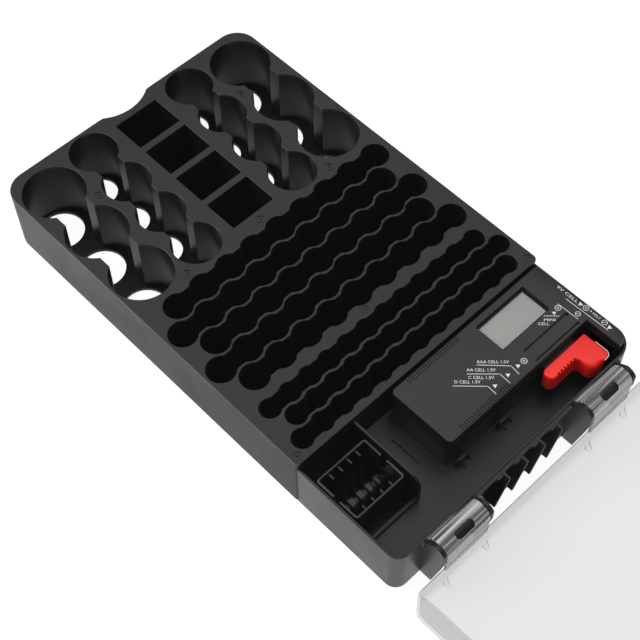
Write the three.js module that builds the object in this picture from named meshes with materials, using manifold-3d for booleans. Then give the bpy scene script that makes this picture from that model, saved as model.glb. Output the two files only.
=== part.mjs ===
// Battery organiser tray with a removable digital cell tester and a clear lid.
// Millimetres, +Z up. The tray stands on z = 0; the lid lies open towards -Y.
import * as THREE from "three";
import { mergeVertices } from "three/addons/utils/BufferGeometryUtils.js";
import Module from "manifold-3d";

const wasm = await Module();
wasm.setup();

// ---------------------------------------------------------------- sizes: pockets
const dPocketR = 17.4;
const dGap = 1.76;
const dNeck = 9.66;
const dCellLength = 61.5;
const cPocketR = 13.61;
const cGap = 1.36;
const cNeck = 7.55;
const aaPocketR = 7.89;
const aaGap = 2.04;
const aaNeck = 5.1;
const aaStagger = 9.29;
const aaaPocketR = 5.72;
const aaaGap = 1.9;
const aaaNeck = 4.25;
const aaaStagger = 6.83;
const ninePocketX = 28.48;
const ninePocketY = 21.36;
const nineGap = 4.27;
const ribbon = 1.5;
const ledgeFront = 8.0;
const ledgeBack = 1.1;

// margins between the pockets and the block's edges
const dEdge = 1.7;
const dBackEdge = 5.4;
const cBackEdge = 2.13;
const nineBackEdge = 10.04;
const dToC = 1.8;
const cToNine = 6.92;
const aaLeftEdge = 1.83;
const aaRightEdge = 3.9;
const aaaLeftEdge = 6.52;
const rowGap = 2.28;
const bandGap = 4.99;
const frontEdge = 3.74;

// ---------------------------------------------------------------- sizes: tray
const blockBack = 123.09;
const blockHeight = 39.72;
const wall = 2.0;
const floorThick = 2.0;
const deckThick = 2.0;
const backCorner = 13;
const frontCorner = 3;
const notchHalf = 16;
const notchDepth = 5.4;
const bayInset = 0.28;
const bayWall = 1.5;
const bayCorner = 7;
const rimDrop = 5.02;
const rimLip = 2.0;
const coinLength = 32.9;
const coinDepth = 28.2;
const coinWall = 1.5;
const coinSlots = 5;
const coinBackGap = 9.2;
const coinFrontGap = 5.3;
const ridgeWidth = 2.6;
const partitionRise = 2.0;
const coinEndGap = 1.0;
const cradleR = 7.2;
const fingerGap = 22.24;
const finCount = 4;
const finPitch = 12.8;
const finStart = -25.4;
const finLean = 8.2;
const finDepth = 6.6;
const finThick = 1.5;
const finDrop = 19.8;

// ---------------------------------------------------------------- sizes: hinge and lid
const sleeveR = 6.4;
const sleeveT = 1.4;
const pinGap = 0.3;
const hingeSpan = 30.0;
const hingeSpacing = 105.06;
const earThick = 2.2;
const sideGap = 0.35;
const cellHeadroom = 0.9;
const lidWall = 1.4;
const lidPanel = 1.6;
const lidGap = 0.32;
const lidRimGap = 0.6;
const lidCorner = 6;
const hingeWallDrop = 12.7;
const scoopLength = 17;
const tongueHalf = 11;
const gussetTop = 2.2;
const gussetFoot = 7;
const gussetStep = 7.5;
const tongueDrop = 8;

// ---------------------------------------------------------------- sizes: tester
const testerLength = 109.21;
const testerThick = 24.0;
const testerDepth = 40.6;
const headDepth = 61.7;
const headLength = 7.7;
const headFlat = 1.7;
const cornerGap = 4.5;
const testerProud = 0.27;
const testerBackGap = 2.0;
const testerFrontGap = 1.7;
const testerEndGap = 1.75;
const shell = 1.6;
const partGap = 0.1;
const tightGap = 0.05;
const lcdLength = 33.2;
const lcdDepth = 16.4;
const lcdFromEnd = 16.9;
const lcdFromBack = 5.1;
const lcdFrame = 1.2;
const screwR = 1.35;
const screwHeadR = 2.6;
const contactR = 3.1;
const contactPitch = 12.7;
const sliderLength = 33.0;
const sliderHeight = 12.0;
const sliderDrop = 4.0;
const armDepth = 7.4;
const armGap = 2.5;
const footLength = 13.6;
const footShort = 1.0;
const restGap = 4.6;
const springR = 1.5;
const wireR = 0.35;
const springTurns = 9;

// ---------------------------------------------------------------- derived
const dPitch = 2 * dPocketR + dGap;
const cPitch = 2 * cPocketR + cGap;
const aaPitch = 2 * aaPocketR + aaGap;
const aaRow = aaPocketR + aaNeck + ribbon;
const aaaPitch = 2 * aaaPocketR + aaaGap;
const aaaRow = aaaPocketR + aaaNeck + ribbon;
const ninePitch = ninePocketY + nineGap;
const pocketLength = coinEndGap + coinLength + coinEndGap + 0.2;
const pocketDepth = coinBackGap + coinDepth + coinFrontGap;

const widthByRows = aaLeftEdge + 2 * aaPocketR + 8 * aaPitch + aaStagger + aaRightEdge;
const widthByColumns = 2 * (dEdge + 2 * dPocketR + dToC + 2 * cPocketR + cToNine) + ninePocketX;
const widthByBay = 2 * bayInset + 3 * bayWall + pocketLength + fingerGap + testerLength
  + testerEndGap;
const halfW = Math.max(widthByRows, widthByColumns, widthByBay) / 2;

const dX = halfW - dEdge - dPocketR;
const cX = dX - dPocketR - dToC - cPocketR;
const dY = blockBack - dBackEdge - dPocketR;
const cY = blockBack - cBackEdge - cPocketR;
const nineY = blockBack - nineBackEdge - ninePocketY / 2;
const columnsFront = Math.min(
  dY - 2 * dPitch - dPocketR,
  cY - 3 * cPitch - cPocketR,
  nineY - 3 * ninePitch - ninePocketY / 2,
);
const aaX = aaLeftEdge - halfW + aaPocketR;
const aaY = columnsFront - rowGap - aaPocketR;
const aaaX = aaaLeftEdge - halfW + aaaPocketR;
const aaaY = aaY - 4 * aaRow - aaPocketR - bandGap - aaaPocketR;
const blockFront = aaaY - 2 * aaaRow - aaaPocketR - frontEdge;

const headCorner = headLength - headFlat;
const bayHeadCorner = headCorner + cornerGap + bayWall;
const bayHalf = halfW - bayInset;
const bayIn = bayHalf - bayWall;
const bayFront = blockFront - testerBackGap - headDepth - testerFrontGap - bayWall;
const bayInFront = bayFront + bayWall;
const bayRim = blockHeight - rimDrop;
const bayFloor = blockHeight + testerProud - testerThick - partGap;

const pinR = sleeveR - sleeveT - pinGap;
const hingeX = hingeSpacing / 2;
const hingeY = bayFront - sleeveR - 2 * pinGap;
const hingeZ = (floorThick + dCellLength + cellHeadroom + lidPanel) / 2;
const lidInHalf = halfW + lidGap;
const lidHalf = lidInHalf + lidWall;
const lidRim = 2 * hingeZ - bayRim - lidRimGap;
const hingeWallTop = lidRim - hingeWallDrop;
const wallOutOpen = hingeY - sleeveR + sleeveT;
const wallInOpen = hingeY - sleeveR;
const lidFarIn = 2 * hingeY - blockBack - lidGap;
const lidFarOut = lidFarIn - lidWall;

const testerZ0 = bayFloor + partGap;
const testerZ1 = testerZ0 + testerThick;
const testerX1 = bayIn - testerEndGap;
const testerX0 = testerX1 - testerLength;
const testerBack = blockFront - testerBackGap;
const testerFront = testerBack - testerDepth;
const headFront = testerBack - headDepth;
const headX = testerX1 - headLength;
const splitZ = testerZ0 + testerThick / 2;

// ---------------------------------------------------------------- helpers
const toManifold = (geometry) => {
  geometry.deleteAttribute("normal");
  geometry.deleteAttribute("uv");
  const merged = mergeVertices(geometry, 1e-4);
  return new wasm.Manifold(new wasm.Mesh({
    numProp: 3,
    vertProperties: new Float32Array(merged.attributes.position.array),
    triVerts: new Uint32Array(merged.index.array),
  }));
};

// points in X,Y; solid between z0 and z1
const prismZ = (points, z0, z1) => {
  const shape = new THREE.Shape(points.map(([x, y]) => new THREE.Vector2(x, y)));
  const geometry = new THREE.ExtrudeGeometry(shape, { depth: z1 - z0, bevelEnabled: false });
  geometry.translate(0, 0, z0);
  return toManifold(geometry);
};

// points in Y,Z; solid between x0 and x1
const prismX = (points, x0, x1) => {
  const shape = new THREE.Shape(points.map(([y, z]) => new THREE.Vector2(y, z)));
  const geometry = new THREE.ExtrudeGeometry(shape, { depth: x1 - x0, bevelEnabled: false });
  geometry.translate(0, 0, x0);
  geometry.applyMatrix4(new THREE.Matrix4().set(
    0, 0, 1, 0,
    1, 0, 0, 0,
    0, 1, 0, 0,
    0, 0, 0, 1,
  ));
  return toManifold(geometry);
};

// points in Z,X; solid between y0 and y1
const prismY = (points, y0, y1) => {
  const shape = new THREE.Shape(points.map(([z, x]) => new THREE.Vector2(z, x)));
  const geometry = new THREE.ExtrudeGeometry(shape, { depth: y1 - y0, bevelEnabled: false });
  geometry.translate(0, 0, y0);
  geometry.applyMatrix4(new THREE.Matrix4().set(
    0, 1, 0, 0,
    0, 0, 1, 0,
    1, 0, 0, 0,
    0, 0, 0, 1,
  ));
  return toManifold(geometry);
};

const box = (x0, x1, y0, y1, z0, z1) => {
  const geometry = new THREE.BoxGeometry(x1 - x0, y1 - y0, z1 - z0);
  geometry.translate((x0 + x1) / 2, (y0 + y1) / 2, (z0 + z1) / 2);
  return toManifold(geometry);
};

const arc = (cx, cy, r, a0, a1, steps) => {
  const points = [];
  for (let i = 0; i <= steps; i += 1) {
    const a = a0 + (a1 - a0) * i / steps;
    points.push([cx + r * Math.cos(a), cy + r * Math.sin(a)]);
  }
  return points;
};

const disc = (cx, cy, r, steps) => arc(cx, cy, r, 0, 2 * Math.PI, steps).slice(0, steps);

// rectangle with its own radius at each corner: [x1 y1], [x0 y1], [x0 y0], [x1 y0]
const roundRect = (x0, x1, y0, y1, radii, steps = 4) => {
  const corners = [[x1, y1, -1, -1], [x0, y1, 1, -1], [x0, y0, 1, 1], [x1, y0, -1, 1]];
  const points = [];
  corners.forEach(([x, y, sx, sy], k) => {
    const r = radii[k];
    if (r > 0) {
      const start = k * Math.PI / 2;
      points.push(...arc(x + sx * r, y + sy * r, r, start, start + Math.PI / 2, steps));
    } else {
      points.push([x, y]);
    }
  });
  return points;
};

// outline of a row of round cells joined by straight necks
const chain = (x, y, dir, count, pitch, r, neck, offset, step) => {
  const rr = r + offset;
  const phi = Math.asin(Math.min(0.95, (neck + offset) / rr));
  const span = Math.PI - 2 * phi;
  const mid = Math.max(2, Math.round(span / step));
  const end = Math.max(4, Math.round((2 * Math.PI - 2 * phi) / step));
  const local = arc((count - 1) * pitch, 0, rr, phi - Math.PI, Math.PI - phi, end);
  for (let k = count - 2; k > 0; k -= 1) {
    local.push(...arc(k * pitch, 0, rr, phi, Math.PI - phi, mid));
  }
  local.push(...arc(0, 0, rr, phi, 2 * Math.PI - phi, end));
  for (let k = 1; k < count - 1; k += 1) {
    local.push(...arc(k * pitch, 0, rr, Math.PI + phi, 2 * Math.PI - phi, mid));
  }
  return local.map(([u, v]) => (dir === "x" ? [x + u, y + v] : [x + v, y - u]));
};

const object = new THREE.Group();

const place = (name, solid, colour) => {
  const mesh = solid.getMesh();
  const geometry = new THREE.BufferGeometry();
  geometry.setAttribute("position", new THREE.BufferAttribute(mesh.vertProperties, 3));
  geometry.setIndex(new THREE.BufferAttribute(mesh.triVerts, 1));
  geometry.computeVertexNormals();
  const node = new THREE.Mesh(geometry, new THREE.MeshStandardMaterial({ color: colour }));
  node.name = name;
  object.add(node);
};

const black = 0x2b2b2c;
const clear = 0xdfe3e4;
const metal = 0xb9bcc0;
const brass = 0xc8a24a;

// ---------------------------------------------------------------- cells
const chains = [];
for (const side of [-1, 1]) {
  chains.push({
    x: side * dX, y: dY, dir: "y", count: 3, pitch: dPitch, r: dPocketR, neck: dNeck,
    step: 0.45, drilled: true,
  });
  chains.push({
    x: side * cX, y: cY, dir: "y", count: 4, pitch: cPitch, r: cPocketR, neck: cNeck,
    step: 0.45, drilled: true,
  });
}
for (let row = 0; row < 5; row += 1) {
  chains.push({
    x: aaX + (row % 2 ? 0 : aaStagger), y: aaY - row * aaRow, dir: "x", count: 9,
    pitch: aaPitch, r: aaPocketR, neck: aaNeck, step: 0.6, drilled: false,
  });
}
for (let row = 0; row < 3; row += 1) {
  chains.push({
    x: aaaX + (row % 2 ? aaaStagger : 0), y: aaaY - row * aaaRow, dir: "x", count: 12,
    pitch: aaaPitch, r: aaaPocketR, neck: aaaNeck, step: 0.7, drilled: false,
  });
}

// ---------------------------------------------------------------- tray: cell block
const blockOutline = (inset) => {
  const r = backCorner - inset;
  const f = frontCorner - inset;
  const cut = [];
  for (let i = 0; i <= 10; i += 1) {
    const depth = notchDepth * (1 - Math.cos(Math.PI * i / 5)) / 2;
    cut.push([(notchHalf + inset) * (1 - i / 5), blockBack - inset - depth]);
  }
  return [
    ...arc(halfW - backCorner, blockBack - backCorner, r, 0, Math.PI / 2, 5),
    ...cut,
    ...arc(backCorner - halfW, blockBack - backCorner, r, Math.PI / 2, Math.PI, 5),
    ...arc(frontCorner - halfW, blockFront + frontCorner, f, Math.PI, 1.5 * Math.PI, 2),
    ...arc(halfW - frontCorner, blockFront + frontCorner, f, 1.5 * Math.PI, 2 * Math.PI, 2),
  ];
};

const tube = (c, offset, z0, z1) => prismZ(
  chain(c.x, c.y, c.dir, c.count, c.pitch, c.r, c.neck, offset, c.step), z0, z1);

const ninePocket = (k, offset, z0, z1) => box(
  -ninePocketX / 2 - offset, ninePocketX / 2 + offset,
  nineY - k * ninePitch - ninePocketY / 2 - offset,
  nineY - k * ninePitch + ninePocketY / 2 + offset, z0, z1);

let hollow = prismZ(blockOutline(wall), -1, blockHeight - deckThick);
for (const c of chains) {
  hollow = hollow.subtract(tube(c, ribbon, -2, blockHeight));
}
for (let k = 0; k < 4; k += 1) {
  hollow = hollow.subtract(ninePocket(k, ribbon, -2, blockHeight));
}

let tray = prismZ(blockOutline(0), 0, blockHeight).subtract(hollow);
for (const c of chains) {
  tray = tray.subtract(tube(c, 0, floorThick, blockHeight + 1));
  if (c.drilled) {
    const r = c.r - (ledgeFront + ledgeBack) / 2 * c.r / dPocketR;
    const shift = (ledgeFront - ledgeBack) / 2 * c.r / dPocketR;
    for (let k = 0; k < c.count; k += 1) {
      tray = tray.subtract(prismZ(disc(c.x, c.y - k * c.pitch + shift, r, 18), -1, floorThick + 1));
    }
  }
}
for (let k = 0; k < 4; k += 1) {
  tray = tray.subtract(ninePocket(k, 0, floorThick, blockHeight + 1));
}

// ---------------------------------------------------------------- tray: tester bay
const pocketX1 = -bayIn + pocketLength;
const pocketY0 = blockFront - pocketDepth;
const bayBody = prismZ(roundRect(-bayHalf, bayHalf, bayFront, blockFront + 1,
  [0, 0, bayCorner, bayHeadCorner], 4), 0, bayRim);
const bayInner = (z0, z1) => prismZ(roundRect(-bayIn, bayIn, bayInFront,
  blockFront - tightGap, [0, 0, bayCorner - bayWall, bayHeadCorner - bayWall], 4), z0, z1);
const underFloor = bayInner(-1, bayFloor - floorThick)
  .subtract(box(-bayIn - 1, pocketX1 + bayWall, pocketY0 - bayWall, blockFront, -2, bayFloor));
let bay = bayBody.subtract(bayInner(bayFloor, bayRim + 1)).subtract(underFloor);
bay = bay.subtract(box(-bayIn, pocketX1, pocketY0, blockFront - tightGap, floorThick, bayRim + 1));

const partitionTop = bayRim + partitionRise;
const partitionFront = pocketY0 - ridgeWidth;
bay = bay.add(prismX([
  [blockFront + 0.5, bayFloor - 1],
  [blockFront + 0.5, partitionTop],
  [partitionFront + 8, partitionTop],
  [partitionFront + 2.4, partitionTop - 2.4],
  [partitionFront, partitionTop - 8],
  [partitionFront, bayFloor - 1],
], pocketX1, pocketX1 + bayWall));
bay = bay.add(box(-bayIn - 0.5, pocketX1 + bayWall, partitionFront, pocketY0,
  bayFloor - 1, bayFloor + 2));
bay = bay.subtract(box(pocketX1 + 12.6, pocketX1 + 14.0, blockFront - 31.6, blockFront - 12.4,
  bayFloor - 4, bayFloor + 1));
for (const x of [testerX0 + 7.6, testerX0 + 37.7]) {
  bay = bay.add(box(x - 4, x + 4, testerFront - 3.4, testerFront - 1.8, bayFloor - 1, bayFloor + 6));
}

// the straight front wall is a rail let into the bay
const railX0 = bayCorner - bayHalf;
const railX1 = bayHalf - bayHeadCorner;
tray = tray.add(bay.subtract(box(railX0 - tightGap, railX1 + tightGap, bayFront - 1,
  bayInFront + tightGap, -1, bayRim + 1)));
place("storage_tray", tray, black);
let rail = box(railX0, railX1, bayFront, bayInFront, 0, bayRim);

// outer lip between the hinges
const lipHalf = hingeX - hingeSpan / 2 - earThick;
rail = rail.add(box(-lipHalf, lipHalf, bayFront - rimLip, bayFront + 0.5, bayRim - rimLip, bayRim));

// leaning fins that part the flat-cell slots
for (let k = 0; k < finCount; k += 1) {
  const x = finStart + k * finPitch;
  rail = rail.add(prismY([
    [bayRim - finDrop, x],
    [bayRim - 0.2, x + finLean],
    [bayRim - 0.2, x + finLean + finThick],
    [bayRim - finDrop, x + finThick],
  ], bayFront - finDepth, bayFront + 0.5));
}

// hinge ears
const ear = [
  [bayFront + 0.5, 0],
  [wallOutOpen + 4.8, 0],
  [wallOutOpen + 0.8, hingeWallTop],
  [hingeY - sleeveR + 0.2, hingeZ - 4],
  ...arc(hingeY, hingeZ, sleeveR, Math.PI, Math.PI / 2, 4),
  [bayFront + 0.5, bayRim],
];
for (const side of [-1, 1]) {
  for (const end of [-1, 1]) {
    const inner = side * hingeX + end * hingeSpan / 2;
    const x0 = end > 0 ? inner : inner - earThick;
    rail = rail.add(prismX([...ear].reverse(), x0, x0 + earThick));
  }
}
for (const side of [-1, 1]) {
  const x = side * hingeX;
  rail = rail.subtract(prismX(disc(hingeY, hingeZ, pinR + partGap, 16),
    x - hingeSpan / 2 - 1.6, x + hingeSpan / 2 + 1.6));
}
place("tray_front_rail", rail, black);

for (const side of [-1, 1]) {
  const x = side * hingeX;
  place(side < 0 ? "hinge_pin_left" : "hinge_pin_right",
    prismX(disc(hingeY, hingeZ, pinR, 16), x - hingeSpan / 2 - 1.4, x + hingeSpan / 2 + 1.4), black);
}

// ---------------------------------------------------------------- coin cell box
const coinX0 = -bayIn + coinEndGap;
const coinX1 = coinX0 + coinLength;
const coinY1 = blockFront - coinBackGap;
const coinY0 = coinY1 - coinDepth;
const coinZ0 = floorThick + partGap;
const coinZ1 = bayRim - 0.6;
const coinMid = (coinY0 + coinY1) / 2;
let coinBox = box(coinX0, coinX1, coinY0, coinY1, coinZ0, coinZ1)
  .subtract(box(coinX0 + coinWall, coinX1 - coinWall, coinY0 + coinWall, coinY1 - coinWall,
    coinZ0 + coinWall, coinZ1 + 1));
const cellPitch = (coinLength - 2 * coinWall) / coinSlots;
for (let k = 1; k < coinSlots; k += 1) {
  const x = coinX0 + coinWall + cellPitch * k;
  coinBox = coinBox.add(box(x - 0.5, x + 0.5, coinY1 - 5, coinY1 - 1, coinZ0 + 1, coinZ1 - 2));
  coinBox = coinBox.add(box(x - 0.5, x + 0.5, coinY0 + 1, coinY0 + 4, coinZ0 + 1, coinZ1 - 2));
}
coinBox = coinBox.subtract(box(coinX0 - 1, coinX1 + 1, coinMid - 1.8, coinMid + 1.8,
  coinZ1 - 12, coinZ1 + 1));
place("coin_cell_box", coinBox, black);

const cradleZ = coinZ0 + coinWall + partGap + cradleR;
const cradleX0 = coinX0 + coinWall + partGap;
const cradleStep = (coinLength - 2 * coinWall - 2 * partGap) / coinSlots;
const cradle = [[0, cradleX0]];
for (let k = 0; k < coinSlots; k += 1) {
  const x0 = cradleX0 + cradleStep * k;
  const x1 = x0 + cradleStep;
  cradle.push([cradleR, x0 + 0.4]);
  cradle.push([cradleR, x1 - 1.2]);
  cradle.push([cradleR - 2.2, x1 - 0.8]);
  cradle.push([cradleR - 2.2, x1]);
}
cradle.push([0, cradleX0 + cradleStep * coinSlots]);
const lathe = new THREE.LatheGeometry(cradle.map(([r, x]) => new THREE.Vector2(r, x)), 14);
lathe.rotateZ(-Math.PI / 2);
lathe.translate(0, coinMid, cradleZ);
place("coin_cell_cradle", toManifold(lathe), black);

// ---------------------------------------------------------------- clear lid (open)
const sideProfile = (d, top) => {
  const y1 = wallOutOpen - d;
  const y0 = lidFarOut + d;
  const r = 9 - d;
  const low = d > 0 ? lidPanel : 0;
  return [
    [y0 + 4, low],
    ...arc(y1 - r, low + r, r, -Math.PI / 2, 0, 4),
    ...top.map(([y, z]) => [Math.min(y, y1), z]),
    [y0, lidRim + d * 4],
    [y0, low + 4],
  ];
};
const scoop = [];
for (let i = 0; i <= 5; i += 1) {
  const t = Math.PI / 2 * i / 5;
  scoop.push([wallOutOpen - scoopLength * (1 - Math.cos(t)),
    hingeWallTop + (lidRim - hingeWallTop) * Math.sin(t)]);
}
const lidPlan = (d) => roundRect(-lidHalf + d, lidHalf - d, lidFarOut + d, wallOutOpen - d,
  [lidCorner - d, lidCorner - d, backCorner + lidGap + lidWall - d,
    backCorner + lidGap + lidWall - d], 4);
const lidOuter = prismX(sideProfile(0, scoop), -lidHalf - 1, lidHalf + 1)
  .intersect(prismZ(lidPlan(0), -1, lidRim + 1));
const lidInner = prismX(sideProfile(lidWall, [[0, lidRim + 6]]), -lidHalf - 1, lidHalf + 1)
  .intersect(prismZ(lidPlan(lidWall), -1, lidRim + 4));
let lid = lidOuter.subtract(lidInner);
lid = lid.add(box(-tongueHalf, tongueHalf, lidFarOut, lidFarIn, lidRim - 2, lidRim + tongueDrop));
for (const side of [-1, 1]) {
  const x0 = side * hingeX - hingeSpan / 2 + sideGap;
  const x1 = side * hingeX + hingeSpan / 2 - sideGap;
  const strap = prismX(disc(hingeY, hingeZ, sleeveR, 20), x0, x1)
    .add(box(x0, x1, wallInOpen, wallOutOpen, hingeWallTop - 2, hingeZ))
    .subtract(prismX(disc(hingeY, hingeZ, sleeveR - sleeveT, 20), x0 - 1, x1 + 1));
  const midX = side * hingeX;
  const window = prismX([
    [hingeY, hingeZ],
    [hingeY - 12, hingeZ + 5.5],
    [hingeY - 0.5, hingeZ + 12],
  ].reverse(), midX - 5, midX + 5);
  lid = lid.add(strap.subtract(window));
  for (const x of [x0, x1 - 1.4]) {
    lid = lid.add(prismX([
      [wallInOpen + 0.3, 1],
      [wallInOpen + 0.3, hingeWallTop + 1],
      [wallInOpen - gussetTop, hingeWallTop - 1],
      [wallInOpen - gussetTop, gussetStep],
      [wallInOpen - gussetFoot, 1],
    ], x, x + 1.4));
  }
}
place("clear_lid", lid, clear);

// ---------------------------------------------------------------- tester shells
const caseOutline = (d) => {
  const r = Math.max(0.6, 3 - d);
  return [
    ...arc(testerX1 - d - r, testerBack - d - r, r, 0, Math.PI / 2, 3),
    ...arc(testerX0 + d + r, testerBack - d - r, r, Math.PI / 2, Math.PI, 3),
    ...arc(testerX0 + d + r, testerFront + d + r, r, Math.PI, 1.5 * Math.PI, 3),
    [headX + d, testerFront + d],
    [headX + d, headFront + d],
    ...arc(testerX1 - headCorner, headFront + headCorner, headCorner - d,
      1.5 * Math.PI, 2 * Math.PI, 4),
  ];
};

const lcdX1 = testerX1 - lcdFromEnd;
const lcdX0 = lcdX1 - lcdLength;
const lcdY1 = testerBack - lcdFromBack;
const lcdY0 = lcdY1 - lcdDepth;
const screwSpots = [
  [testerX0 + 8, testerBack - 8],
  [testerX0 + 8, testerFront + 10],
  [lcdX0 - 8, testerBack - 8],
  [testerX1 - 4.2, headFront + 8],
];

let topShell = prismZ(caseOutline(0), splitZ + partGap, testerZ1)
  .subtract(prismZ(caseOutline(shell), splitZ - 1, testerZ1 - shell));
for (const [x, y] of screwSpots) {
  const post = prismZ(disc(x, y, 2 * screwR, 12), splitZ + partGap, testerZ1 - shell + 0.5);
  const pilot = prismZ(disc(x, y, screwR + partGap, 10), splitZ - 1, splitZ + 7);
  topShell = topShell.add(post).subtract(pilot);
}
topShell = topShell.subtract(box(lcdX0 - lcdFrame, lcdX1 + lcdFrame, lcdY0 - lcdFrame,
  lcdY1 + lcdFrame, testerZ1 - shell - 1, testerZ1 + 1));
for (const y of [testerFront + 2.2, testerFront + 9.7]) {
  topShell = topShell.subtract(box(testerX1 - 44.8, testerX1 - 11.5, y - 0.4, y + 0.4,
    testerZ1 - 0.8, testerZ1 + 1));
}
const slotZ1 = splitZ + 4.6;
topShell = topShell.subtract(box(testerX0 + 3, headX - 3, testerFront - 1, testerFront + shell + 0.5,
  splitZ - 1, slotZ1));
const nineContacts = [testerBack - 18, testerBack - 18 - contactPitch];
for (const y of nineContacts) {
  topShell = topShell.subtract(prismX(disc(y, splitZ + 6, contactR + pinGap, 14),
    testerX1 - 0.6, testerX1 + 1));
}
place("tester_top_shell", topShell, black);

let backShell = prismZ(caseOutline(0), testerZ0, splitZ)
  .subtract(prismZ(caseOutline(shell), testerZ0 + shell, splitZ + 1));
for (const [x, y] of screwSpots) {
  backShell = backShell.add(prismZ(disc(x, y, screwHeadR + 1.4, 14), testerZ0 + 0.5, splitZ - partGap));
}
backShell = backShell.intersect(prismZ(caseOutline(0), testerZ0 - 1, splitZ + 1));
for (const [x, y] of screwSpots) {
  backShell = backShell.subtract(prismZ(disc(x, y, screwR + pinGap, 10), testerZ0 - 1, splitZ + 1));
  backShell = backShell.subtract(prismZ(disc(x, y, screwHeadR + pinGap, 12), testerZ0 - 1, testerZ0 + 4));
}
place("tester_back_shell", backShell, black);

screwSpots.forEach(([x, y], k) => {
  const head = prismZ(disc(x, y, screwHeadR, 12), testerZ0 + 1.6, testerZ0 + 3.8);
  const shank = prismZ(disc(x, y, screwR, 10), testerZ0 + 3, splitZ + 6);
  const cross = box(x - 1.5, x + 1.5, y - 0.35, y + 0.35, testerZ0 + 1, testerZ0 + 2.6)
    .add(box(x - 0.35, x + 0.35, y - 1.5, y + 1.5, testerZ0 + 1, testerZ0 + 2.6));
  place(`case_screw_${k + 1}`, head.add(shank).subtract(cross), metal);
});

// ---------------------------------------------------------------- tester inside
const windowZ1 = testerZ1 - shell - tightGap;
const innerBack = testerBack - shell - 0.15;
const windowEdge = lcdFrame + 0.8;
place("lcd_window", box(lcdX0 - windowEdge, lcdX1 + windowEdge, lcdY0 - windowEdge,
  lcdY1 + windowEdge, windowZ1 - 1.0, windowZ1), clear);
place("lcd_module", box(lcdX0, lcdX1, lcdY0, lcdY1, windowZ1 - 3.4, windowZ1 - 1.1), 0x9aa09a);
place("lcd_connector", box(lcdX0 + 1, lcdX1 - 1, lcdY1 - 2.4, lcdY1 - 0.4,
  splitZ + 4.7, windowZ1 - 3.5), 0x3c3c40);
place("circuit_board", box(lcdX0 - 22, lcdX1 + 3, testerBack - 31, innerBack - 0.1,
  splitZ + 3.0, splitZ + 4.6)
  .subtract(prismZ(disc(lcdX0 - 8, testerBack - 8, 3.2, 12), splitZ, splitZ + 8)), 0x2f6b3c);
place("meter_chip", prismZ(disc(lcdX0 + 12, testerBack - 18, 5, 16), splitZ + 1.4, splitZ + 2.9), 0x151515);
place("button_cell_contact", box(testerX1 - 43.5, testerX1 - 39.5, testerFront + 6.0, testerFront + 8.2,
  splitZ + 6, testerZ1 - shell - 0.1), metal);
place("fixed_contact_plate", box(headX - 0.4, headX - tightGap, headFront + 3, testerFront - 4,
  testerZ0 + 4, testerZ1 - 5), metal);
["nine_volt_contact_plus", "nine_volt_contact_minus"].forEach((name, k) => {
  const face = prismX(disc(nineContacts[k], splitZ + 6, contactR, 14),
    testerX1 - 0.55, testerX1 - partGap);
  place(name, face, metal);
});

// ---------------------------------------------------------------- slider
const armZ1 = testerZ1 - sliderDrop;
const armZ0 = armZ1 - sliderHeight;
const armY1 = testerFront - armGap;
const armY0 = armY1 - armDepth;
const armX1 = headX - restGap;
const armX0 = armX1 - sliderLength;
const footX0 = armX1 - footLength;
const footY0 = headFront + footShort;
let slider = prismZ([
  [armX1, armY1],
  [armX0 + 2, armY1],
  [armX0, armY1 - 2],
  [armX0, armY0 + 2],
  [armX0 + 2, armY0],
  [footX0 - 3, armY0],
  [footX0 - 0.8, armY0 - 1],
  [footX0, armY0 - 3.2],
  [footX0, footY0 + 4],
  [footX0 + 1.2, footY0 + 1.2],
  [footX0 + 4, footY0],
  [armX1 - 2, footY0],
  [armX1, footY0 + 2],
], armZ0, armZ1);
for (let k = 0; k < 6; k += 1) {
  const x = armX0 + 5 + k * 2.4;
  slider = slider.add(box(x, x + 1.1, armY0 - 0.7, armY0 + 0.5, armZ0 + 2, armZ1 - 0.6));
}
slider = slider.add(box(armX0 + 5, armX1 - 5, armY1 - 0.5, testerFront + shell + 4,
  splitZ + 0.6, slotZ1 - 0.5));
slider = slider.add(box(armX0 + 5, armX0 + 7, testerFront + shell + 1, testerFront + shell + 4,
  splitZ + 2, splitZ + 8));
place("test_slider", slider, 0xe0352b);
place("slider_contact", box(armX1 + tightGap, armX1 + 0.4, footY0 + 3, armY0, armZ0 + 1.5, armZ1 - 1.5),
  brass);

// extension spring: one closed helix, hooked near the slider's lug
const springX0 = armX0 + 8;
const springX1 = headX - 3;
const helix = [];
for (let i = 0; i <= springTurns * 8; i += 1) {
  const a = 2 * Math.PI * i / 8;
  helix.push(new THREE.Vector3(
    springX0 + (springX1 - springX0) * i / (springTurns * 8),
    testerFront + shell + 2.6 + springR * Math.cos(a),
    splitZ + 7.6 + springR * Math.sin(a),
  ));
}
const wire = new THREE.Shape(disc(0, 0, wireR, 5).map(([x, y]) => new THREE.Vector2(x, y)));
const spring = new THREE.ExtrudeGeometry(wire, {
  steps: springTurns * 8, bevelEnabled: false, extrudePath: new THREE.CatmullRomCurve3(helix),
});
place("slider_return_spring", toManifold(spring), metal);

export default object;
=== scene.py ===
import math
import bpy
from mathutils import Matrix, Vector


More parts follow.
